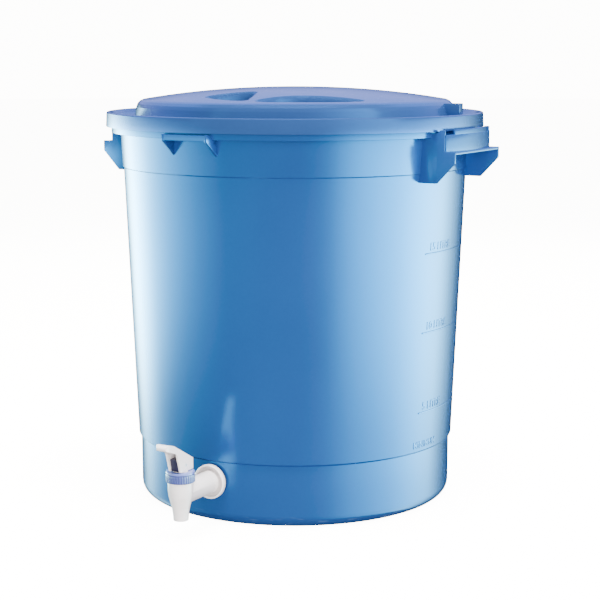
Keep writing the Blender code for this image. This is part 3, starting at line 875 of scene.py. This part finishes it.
@dataclass
class Tap:
    """The white tap, its collar and bonnet, and the washers and nut that hold it in the wall."""

    steps: int = 96
    axis_z: float = 0.0386
    spout_y: float = -0.1950
    barrel_radius: float = 0.00975
    shank_radius: float = 0.00895
    shank_end: float = 0.1220
    flange_back: float = 0.1474
    flange_radius: float = 0.0152
    wall_foot: float = 0.1451
    wall: float = 0.0022
    neck_radius: float = 0.0096
    neck_top: float = 0.0560
    shoulder_z: float = 0.0494
    nozzle_low: float = 0.0156
    nozzle_bore: float = 0.0042
    chamber: Point = (0.0080, 0.0330)
    waterway: float = 0.0053
    thread_pitch: float = 0.0018
    thread_depth: float = 0.0007
    ribs: int = 36
    collar_radius: float = 0.0126

    def spout(self) -> Matrix:
        """The place of the upright pieces."""
        return Matrix.Translation((0.0, self.spout_y, 0.0))

    def barrel(self) -> Matrix:
        """The place of the pieces that lie along the tap; their +Z points along -Y."""
        return Matrix.Translation((0.0, 0.0, self.axis_z)) @ UPRIGHT

    def body(self) -> bpy.types.Object:
        """Spout, barrel, dished flange and threaded shank, bored out."""
        spout = rounded([
            (0.0, self.neck_top), (self.neck_radius, self.neck_top, 0.0004), (self.neck_radius, self.shoulder_z),
            (0.0111, self.shoulder_z, 0.0006), (0.0110, 0.0420, 0.012), (0.0104, 0.0370, 0.008),
            (0.0076, 0.0264, 0.010), (0.0067, 0.0200, 0.010), (0.0065, self.nozzle_low, 0.0007),
            (0.0, self.nozzle_low)], 5)
        tap = Workshop.turned("tap_body_shell", spout, self.steps, self.spout())
        back, end, shank = self.flange_back, self.shank_end, self.shank_radius
        barrel = [(0.0, -self.spout_y), (self.barrel_radius, -self.spout_y), (self.barrel_radius, back + 0.0036, 0.002),
                  (0.0104, back + 0.0022, 0.001), (0.0118, back + 0.0016, 0.002), (0.0131, back + 0.0022, 0.001),
                  (0.0138, back + 0.0042, 0.0006), (0.0146, back + 0.0044, 0.0005),
                  (self.flange_radius, back + 0.0038, 0.0006), (self.flange_radius, back, 0.0008), (shank, back)]
        where = back - 0.0062
        while where - self.thread_pitch > end + 0.0006:
            low = shank - self.thread_depth
            barrel += [(shank, where), (low, where - 0.0006), (low, where - 0.0009), (shank, where - 0.0015)]
            where -= self.thread_pitch
        barrel += [(shank - 0.0006, end + 0.0002), (shank - 0.0008, end), (0.0, end)]
        Workshop.combine(tap, Workshop.turned("barrel", rounded(barrel, 5), self.steps, self.barrel()), Join.ADD)
        for radius, low, high, place in (
                (self.chamber[0], self.chamber[1], 0.070, self.spout()),
                (self.nozzle_bore, 0.005, 0.040, self.spout()),
                (self.waterway, 0.110, -self.spout_y - 0.005, self.barrel())):
            bore = Workshop.turned("bore", [(0.0, high), (radius, high), (radius, low), (0.0, low)], 64, place)
            Workshop.combine(tap, bore, Join.CUT)
        return tap

    def bonnet(self) -> bpy.types.Object:
        """The white cap under the collar, with the stem's hole through it."""
        top, wall = 0.0592, 0.0025
        return Workshop.turned("bonnet_cap", rounded([
            (wall, top), (0.0066, top, 0.0006), (0.0068, 0.0577), (0.0094, 0.0577, 0.0003),
            (0.0094, self.neck_top + GAP), (0.0077, self.neck_top + GAP), (0.0077, 0.0535, 0.0004), (0.0064, 0.0522),
            (0.0064, 0.0540), (wall, 0.0540), (wall, top)], 4), 64, self.spout())

    def collar(self) -> bpy.types.Object:
        """The collar nut: fine upright ribs under a plain lip."""
        reach, low, top = self.collar_radius, 0.0497, 0.0590
        collar = Workshop.turned("collar_nut", rounded([
            (0.0071, top - 0.0001), (reach - 0.0002, top, 0.0007), (reach - 0.0002, 0.0572, 0.0003),
            (reach - 0.0005, 0.0569), (reach - 0.0005, 0.0560), (reach - 0.0005, 0.0545), (reach - 0.0005, 0.0515),
            (reach - 0.0005, low, 0.0004), (self.neck_radius + GAP, low, 0.0003),
            (self.neck_radius + GAP, 0.0580), (0.0071, 0.0580), (0.0071, top - 0.0001)], 4),
            self.ribs * 8, self.spout(), 60.0)

        def rib(places: np.ndarray) -> np.ndarray:
            """Pushes the outer skin out and in to make the ribs."""
            x, y = places[:, 0], places[:, 1] - self.spout_y
            radius, angle = np.hypot(x, y), np.arctan2(y, x)
            ribbed = (radius > reach - 0.0012) & (places[:, 2] < 0.0565)
            wave = 0.00045 * np.abs(np.cos(angle * self.ribs / 2.0)) ** 0.6
            new = np.where(ribbed, radius + wave, radius)
            return np.stack((new * np.cos(angle), new * np.sin(angle) + self.spout_y, places[:, 2]), axis=1)

        Workshop.move_vertices(collar, rib)
        return collar

    def washers(self) -> list[bpy.types.Object]:
        """The outer and inner washers, cut to the curved wall."""
        bore = self.shank_radius + GAP
        outer_wall, inner_wall = self.wall_foot + GAP + 0.0001, self.wall_foot - self.wall - GAP - 0.0003
        made = []
        for name, wide, far, near, radius, how in (
                ("outer_washer_ring", 0.0140, self.flange_back - GAP, 0.1430, outer_wall, Join.CUT),
                ("inner_washer_ring", 0.0145, 0.1440, 0.1400, inner_wall, Join.KEEP)):
            ring = Workshop.turned(name, rounded([
                (bore, far), (wide, far, 0.0005), (wide, near, 0.0005), (bore, near), (bore, far)], 4),
                64, self.barrel())
            wall = Workshop.turned("wall", [(0.0, 0.08), (radius, 0.08), (radius, 0.0), (0.0, 0.0)], 256)
            Workshop.combine(ring, wall, how)
            made.append(ring)
        return made

    def nut(self) -> bpy.types.Object:
        """The hexagon back nut with a round flange, its edges eased."""
        face, length, radius = 0.1400 - GAP, 0.0085, 0.0150
        corners = [math.radians(60.0 * k + 30.0) for k in range(6)]
        outline = [(radius * math.cos(c), radius * math.sin(c)) for c in corners]
        nut = Workshop.plate("back_nut_hex", outline, face - length, face, self.barrel(), 0.0006, 3)
        cone = Workshop.turned("cone", rounded([
            (0.0, face + 0.001), (radius - 0.0002, face + 0.001), (radius - 0.0002, face - length + 0.0022),
            (radius - 0.0018, face - length - 0.0002), (0.0, face - length - 0.0002)], 2), 64, self.barrel())
        Workshop.combine(nut, cone, Join.KEEP)
        bore = [(0.0, 0.150), (self.shank_radius + GAP, 0.150), (self.shank_radius + GAP, 0.120), (0.0, 0.120)]
        Workshop.combine(nut, Workshop.turned("bore", bore, 64, self.barrel()), Join.CUT)
        return nut

    def build(self, white: bpy.types.Material, blue: bpy.types.Material, rubber: bpy.types.Material) -> None:
        """Models and dresses the fixed pieces of the tap."""
        finish_piece(self.body(), Body.BUCKET, Slot.TAP, white, "tap_body")
        finish_piece(self.bonnet(), Body.BUCKET, Slot.TAP, white, "bonnet")
        finish_piece(self.nut(), Body.BUCKET, Slot.TAP, white, "back_nut")
        finish_piece(self.collar(), Body.BUCKET, Slot.COLLAR, blue, "collar")
        for ring, node in zip(self.washers(), ("outer_washer", "inner_washer")):
            finish_piece(ring, Body.BUCKET, Slot.RUBBER, rubber, node)


@dataclass
class Valve:
    """What the lever lifts: stem, seat cup and spring washer, with the return spring above them."""

    spout: Matrix
    seat_z: float = 0.0330
    spring_radius: float = 0.0047
    wire: float = 0.0004
    coils: float = 4.5
    spring_low: float = 0.0421
    spring_high: float = 0.0528
    fixed_end: float = 0.0532
    keep: float = 0.745

    def stem(self) -> bpy.types.Object:
        """The dark stem with its square head and pin hole; the head fills the lever's hollow, so its dark colour is
        partly the stem's own and partly painted shade inside the channel.
        """
        stem = Workshop.turned("valve_stem_rod", rounded([
            (0.0, 0.0650), (0.0024, 0.0650), (0.0024, 0.0358, 0.0003), (0.0, 0.0358)], 6), 48, self.spout)
        # the head's outline follows the lever's hollow: a dark block that stands in for the shade inside the channel
        outline = rounded([(0.1960, 0.0597), (0.1915, 0.0597, 0.0004), (0.1915, 0.0687, 0.0010),
                           (0.1935, 0.0705, 0.0010), (0.2045, 0.0705, 0.0006), (0.2023, 0.0597, 0.0006),
                           (0.1960, 0.0597)], 4)[:-1]
        head = Workshop.plate("head", outline, -0.0041, 0.0041, turn_z(-90.0) @ UPRIGHT, 0.0004)
        Workshop.combine(stem, head, Join.ADD)
        across = self.spout @ Matrix.Translation((0.0, 0.0, 0.0645)) @ Matrix.Rotation(math.pi / 2.0, 4, "Y")
        hole = Workshop.turned("hole", [(0.0, 0.02), (0.0013, 0.02), (0.0013, -0.02), (0.0, -0.02)], 24, across)
        Workshop.combine(stem, hole, Join.CUT)
        return stem

    def cup(self) -> bpy.types.Object:
        """The silicone cup that closes on the seat."""
        return Workshop.turned("seat_cup_seal", rounded([
            (0.0, 0.0355), (0.0029, 0.0355), (0.0029, 0.0402, 0.0002), (0.0052, 0.0402, 0.0005),
            (0.0062, 0.0360, 0.0015), (0.0062, self.seat_z + GAP, 0.0005), (0.0, self.seat_z + GAP)], 5), 64, self.spout)

    def washer(self) -> bpy.types.Object:
        """The washer between spring and cup."""
        return Workshop.turned("spring_washer_ring", rounded([
            (0.0027, 0.0405), (0.0027, 0.0414), (0.0062, 0.0414, 0.0002), (0.0062, 0.0405, 0.0002),
            (0.0027, 0.0405)], 3), 64, self.spout)

    def spring(self) -> bpy.types.Object:
        """The coil, swept by a screw from one round of wire."""
        Workshop.pick(None)
        bpy.ops.mesh.primitive_circle_add(vertices=12, radius=self.wire, location=(self.spring_radius, 0.0, 0.0),
                                          rotation=(math.pi / 2.0, 0.0, 0.0))
        spring = bpy.context.object
        spring.name = spring.data.name = "return_spring_coil"
        bpy.ops.object.transform_apply(location=True, rotation=True, scale=True)
        screw = spring.modifiers.new("Coil", "SCREW")
        screw.angle = 2.0 * math.pi * self.coils
        screw.screw_offset = self.spring_high - self.spring_low
        screw.steps = screw.render_steps = int(self.coils * 40)
        bpy.ops.object.modifier_apply(modifier=screw.name)
        bpy.ops.object.mode_set(mode="EDIT")
        bpy.ops.mesh.select_all(action="SELECT")
        bpy.ops.mesh.fill_holes(sides=0)
        return Workshop.close(spring, self.spout @ Matrix.Translation((0.0, 0.0, self.spring_low)))

    def build(self, dark: bpy.types.Material, silicone: bpy.types.Material, white: bpy.types.Material,
              steel: bpy.types.Material) -> None:
        """Models and dresses the valve's pieces."""
        finish_piece(self.stem(), Body.STEM, Slot.STEM, dark, "valve_stem")
        finish_piece(self.cup(), Body.STEM, Slot.SILICONE, silicone, "seat_cup")
        finish_piece(self.washer(), Body.STEM, Slot.TAP, white, "spring_washer")
        spring = finish_piece(self.spring(), Body.BUCKET, Slot.STEEL, steel, "return_spring")
        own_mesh(spring)


@dataclass
class Lever:
    """The thumb lever: an upside-down channel with a rounded paddle, and its pin."""

    spout: Matrix
    half_width: float = 0.0062
    cheek: float = 0.0018
    pin_half: float = 0.0060
    foot_z: float = 0.0595
    back: float = 0.1840
    front: float = 0.2034
    pin_z: float = 0.0645
    pin_radius: float = 0.0012
    hole_radius: float = 0.0013

    def side_on(self) -> Matrix:
        """Turns an (outwards, height) outline to stand along the tap."""
        return turn_z(-90.0) @ UPRIGHT

    def shell(self) -> bpy.types.Object:
        """The channel, hollow below, with a rounded paddle and a pin hole."""
        outline = rounded([
            (self.back + 0.004, self.foot_z), (self.back, self.foot_z, 0.0006), (self.back, 0.0685, 0.0014),
            (0.2130, 0.0848, 0.014), (0.2190, 0.0866, 0.010), (0.2226, 0.0862, 0.003), (0.2240, 0.0842, 0.002),
            (0.2228, 0.0818, 0.002), (0.2190, 0.0806, 0.008), (0.2085, 0.0768, 0.004), (self.front, self.foot_z, 0.0005),
            (self.back + 0.004, self.foot_z)], 5)[:-1]
        wide, side = self.half_width, self.side_on()
        lever = Workshop.plate("lever_shell", outline, -wide, wide, side)
        plan = rounded([(0.190, wide - 0.0001), (0.1838, wide - 0.0001, 0.0012), (0.1838, 0.0001 - wide, 0.0012),
                        (0.2243, 0.0001 - wide, 0.0042), (0.2243, wide - 0.0001, 0.0042), (0.190, wide - 0.0001)], 8)[:-1]
        Workshop.combine(lever, Workshop.plate("plan", plan, 0.05, 0.10, turn_z(-90.0)), Join.KEEP)
        inside = wide - self.cheek
        hollow = [(0.1862, 0.055), (0.1862, 0.0672), (0.2045, 0.0770), (0.2120, 0.0770), (0.2120, 0.055)]
        Workshop.combine(lever, Workshop.plate("hollow", hollow, -inside, inside, side), Join.CUT)
        Workshop.ease(lever, 0.0005, 2, 40.0)
        across = self.spout @ Matrix.Translation((0.0, 0.0, self.pin_z)) @ Matrix.Rotation(math.pi / 2.0, 4, "Y")
        radius = self.hole_radius
        hole = Workshop.turned("hole", [(0.0, 0.02), (radius, 0.02), (radius, -0.02), (0.0, -0.02)], 24, across)
        Workshop.combine(lever, hole, Join.CUT)
        return lever

    def pin(self) -> bpy.types.Object:
        """The pin through the cheeks and the stem's head, its ends chamfered."""
        across = self.spout @ Matrix.Translation((0.0, 0.0, self.pin_z)) @ Matrix.Rotation(math.pi / 2.0, 4, "Y")
        return Workshop.turned("lever_pin_rod", rounded([
            (0.0, self.pin_half), (self.pin_radius, self.pin_half, 0.0003), (self.pin_radius, -self.pin_half, 0.0003),
            (0.0, -self.pin_half)], 3), 32, across)

    def build(self, white: bpy.types.Material, steel: bpy.types.Material) -> None:
        """Models and dresses the lever and its pin."""
        finish_piece(self.shell(), Body.LEVER, Slot.TAP, white, "lever")
        finish_piece(self.pin(), Body.STEM, Slot.STEEL, steel, "lever_pin")


# ---------------------------------------------------------------- studio


@dataclass(frozen=True)
class Card:
    """A tall curved card seen only in the object's gloss, whose glow changes with bearing and height.

    Each stop is a bearing in degrees, 0 on the camera's side and 90 on its right, with a strength.
    Each level is a height with the share of the glow that is left there.
    """

    name: str
    stops: tuple[Point, ...]
    colour: Colour
    levels: tuple[Point, ...]
    distance: float = 1.5


@dataclass(frozen=True)
class Lamp:
    """A soft rectangular lamp that faces the object."""

    name: str
    bearing: float
    distance: float
    height: float
    size: float
    power: float
    colour: Colour = (1.0, 1.0, 1.0)


@dataclass
class Studio:
    """Pale floor, white surroundings, soft lamps, reflector cards and the camera."""

    bearing: float = 29.9
    heading: float = 29.72
    pitch: float = 8.95
    camera_distance: float = 1.4867
    camera_height: float = 0.4128
    lens: float = 96.0
    white: Colour = (1.0, 0.985, 0.955)
    cards: tuple[Card, ...] = (
        Card("card_left", (
            (-157.0, 0.0), (-152.0, 3.0), (-147.0, 10.0), (-138.0, 42.0), (-132.0, 52.0),
            (-123.0, 40.0), (-114.0, 27.0), (-107.0, 18.0), (-98.0, 13.0), (-90.0, 9.5), (-78.0, 6.0),
            (-64.0, 3.2), (-46.0, 0.8), (-20.0, 0.2), (0.0, 0.0)), (0.52, 0.92, 1.0),
             ((-1.4, 0.08), (-0.5, 0.1), (-0.36, 0.2), (-0.28, 0.42), (-0.18, 0.78), (-0.06, 1.0), (0.15, 1.0),
              (0.22, 0.85), (0.27, 0.6), (0.3, 0.45), (0.4, 0.3), (1.6, 0.3))),
        Card("card_right", (
            (5.0, 0.0), (14.0, 0.6), (22.0, 1.9), (29.0, 4.4), (41.0, 9.0), (55.0, 13.5),
            (71.0, 19.5), (80.0, 24.5), (90.0, 28.5), (100.0, 29.0), (112.0, 22.0), (120.0, 11.0),
            (130.0, 3.5), (142.0, 0.6), (155.0, 0.0)), (0.50, 0.92, 1.0),
             ((-1.4, 0.25), (-0.5, 0.35), (-0.36, 0.6), (-0.26, 0.8), (-0.14, 0.95), (-0.06, 1.0), (0.1, 1.0),
              (0.17, 0.75), (0.23, 0.5), (0.28, 0.3), (0.4, 0.22), (1.6, 0.22))),
        Card("card_high", ((60.0, 0.0), (90.0, 0.3), (120.0, 0.9), (240.0, 1.0), (270.0, 0.5), (300.0, 0.0)),
             (0.80, 0.80, 1.75), ((0.5, 0.0), (0.6, 1.0), (2.2, 1.0)), 1.45),
    )
    lamps: tuple[Lamp, ...] = (
        Lamp("lamp_front", 40.0, 1.7, 0.7, 1.0, 44.0),
        Lamp("lamp_left", -90.0, 1.7, 0.9, 1.2, 10.0),
        Lamp("lamp_right", 80.0, 1.7, 0.9, 1.2, 30.0),
        Lamp("lamp_back", 175.0, 1.7, 1.2, 1.2, 40.0),
        Lamp("lamp_top", 0.0, 0.3, 2.0, 1.2, 175.0),
        Lamp("lamp_low", -10.0, 1.5, -0.1, 1.8, 58.0),
        Lamp("lamp_bounce", -160.0, 1.2, -0.7, 1.4, 26.0),
    )

    def around(self, bearing: float, distance: float, height: float) -> Vector:
        """A place round the object; bearing 0 is the camera's side and 90 its right."""
        turn = math.radians(self.bearing + bearing)
        return Vector((distance * math.sin(turn), -distance * math.cos(turn), height))

    def put_card(self, card: Card) -> None:
        """Stands one glowing card round the object, from its first stop to its last."""
        low, high = card.levels[0][0], card.levels[-1][0]
        first, last = card.stops[0][0], card.stops[-1][0]
        piece = Workshop.chain(card.name, [self.around(first, card.distance, end) for end in (low, high)])
        bpy.ops.mesh.spin(steps=48, angle=math.radians(first - last), center=(0.0, 0.0, 0.0), axis=(0.0, 0.0, 1.0))
        bpy.ops.object.mode_set(mode="OBJECT")
        bench = NodeBench(card.name)
        middle = (first + last) / 2.0
        ahead, right = self.around(middle, 1.0, 0.0), self.around(middle + 90.0, 1.0, 0.0)
        sides = [bench.node("VectorMath", {"operation": "DOT_PRODUCT"}, {0: bench.place(), 1: way}, "Value")
                 for way in (right, ahead)]
        bearing = bench.node("Math", {"operation": "ARCTAN2"}, {0: sides[0], 1: sides[1]})
        brightest = max(strength for _, strength in card.stops)
        stops = [(0.5 + (turn - middle) / 360.0, shade((1.0, 1.0, 1.0), strength / brightest))
                 for turn, strength in card.stops]
        levels = [((height - low) / (high - low), shade((1.0, 1.0, 1.0), share)) for height, share in card.levels]
        glow = bench.node("ValToRGB", {"stops": stops}, {0: bearing / (2.0 * math.pi) + 0.5})
        fade = bench.node("ValToRGB", {"stops": levels}, {0: (bench.height() - low) / (high - low)})
        bench.link("Emission Color", bench.mix(glow * fade, (0.0, 0.0, 0.0), card.colour))
        bench.fix(Base_Color=(0.0, 0.0, 0.0, 1.0), Emission_Strength=brightest, Roughness=1.0, Specular_IOR_Level=0.0)
        bench.material.cycles.emission_sampling = "NONE"
        piece.data.materials.append(bench.material)
        piece.visible_camera = piece.visible_diffuse = piece.visible_shadow = False
        piece.visible_transmission = False

    def put_floor(self) -> None:
        """Lays the wide pale floor."""
        Workshop.pick(None)
        bpy.ops.mesh.primitive_circle_add(vertices=96, radius=12.0, fill_type="NGON", location=(0.0, 0.0, -0.0002))
        floor = bpy.context.object
        floor.name = "floor"
        bench = NodeBench("floor")
        bench.link("Base Color", bench.mix(bench.noise(3.0), (0.86, 0.86, 0.85), (0.9, 0.9, 0.89)))
        bench.shader.inputs["Emission Color"].default_value = (*self.white, 1.0)
        bench.fix(Emission_Strength=13.0, Roughness=0.9, Specular_IOR_Level=0.0)
        bench.material.cycles.emission_sampling = "NONE"
        floor.data.materials.append(bench.material)
        floor.visible_glossy = floor.visible_diffuse = floor.visible_shadow = False

    def put_world(self) -> None:
        """Surrounds the scene with plain white that lights nothing."""
        world = bpy.data.worlds.new("white")
        bpy.context.scene.world = world
        world.use_nodes = True
        background = world.node_tree.nodes["Background"]
        background.inputs["Color"].default_value = (*self.white, 1.0)
        background.inputs["Strength"].default_value = 14.0
        world.cycles_visibility.diffuse = world.cycles_visibility.glossy = False

    def put_lamp(self, lamp: Lamp) -> None:
        """Hangs one soft lamp, turned to the middle of the bucket."""
        data = bpy.data.lights.new(lamp.name, "AREA")
        data.size = lamp.size
        data.energy = lamp.power
        data.color = lamp.colour
        made = bpy.data.objects.new(lamp.name, data)
        bpy.context.scene.collection.objects.link(made)
        made.location = self.around(lamp.bearing, lamp.distance, lamp.height)
        aim = Vector((0.0, 0.0, 0.18)) - made.location
        made.rotation_euler = aim.to_track_quat("-Z", "Y").to_euler()
        made.visible_camera = made.visible_glossy = False

    def put_camera(self) -> None:
        """Sets the camera a little above the lid, looking slightly down."""
        data = bpy.data.cameras.new("camera")
        data.lens = self.lens
        data.sensor_width = 36.0
        made = bpy.data.objects.new("camera", data)
        bpy.context.scene.collection.objects.link(made)
        made.location = self.around(0.0, self.camera_distance, self.camera_height)
        made.rotation_euler = (math.radians(90.0 - self.pitch), 0.0, math.radians(self.heading))
        bpy.context.scene.camera = made

    def build(self) -> None:
        """Sets up the whole studio."""
        self.put_world()
        self.put_floor()
        for card in self.cards:
            self.put_card(card)
        for lamp in self.lamps:
            self.put_lamp(lamp)
        self.put_camera()
        LOG.info("studio: %d cards, %d lamps", len(self.cards), len(self.lamps))


def main() -> None:
    """Builds the bucket, the lid, the tap and the studio, in that order."""
    logging.basicConfig(level=logging.INFO, format="%(name)s %(message)s")
    blue = BucketPlastic("bucket_blue", (0.013, 0.050, 0.176), 0.18, grain=0.02, specular=1.0, index=1.8,
                         tint=(0.05, 0.46, 1.0)).make()
    lid_blue = BucketPlastic("lid_blue", (0.016, 0.044, 0.135), 0.20, grain=0.02, specular=1.0, index=1.8,
                             tint=(0.12, 0.40, 1.0)).make()
    white = TapPlastic("tap_white", (0.92, 0.86, 0.85), 0.26, mottle=0.02, coat=0.2).make()
    collar_blue = CollarPlastic("collar_blue", (0.02, 0.024, 0.14), 0.22, coat=0.5).make()
    # the stem's own dark plastic, made darker still as painted shade for the lever's hollow
    dark = Finish("stem_dark", (0.020, 0.016, 0.040), 0.4).make()
    rubber = SoftSeal("seal_rubber_grey", (0.045, 0.045, 0.05), 0.6).make()
    silicone = SoftSeal("seat_silicone", (0.70, 0.69, 0.65), 0.45).make()
    steel = Steel("bright_steel", (0.62, 0.62, 0.64), 0.22, grain=0.1).make()

    Bucket().build(blue)
    Lid().build(lid_blue)
    tap = Tap()
    tap.build(white, collar_blue, rubber)
    Valve(tap.spout()).build(dark, silicone, white, steel)
    Lever(tap.spout()).build(white, steel)
    Studio().build()


if __name__ == "__main__":
    main()
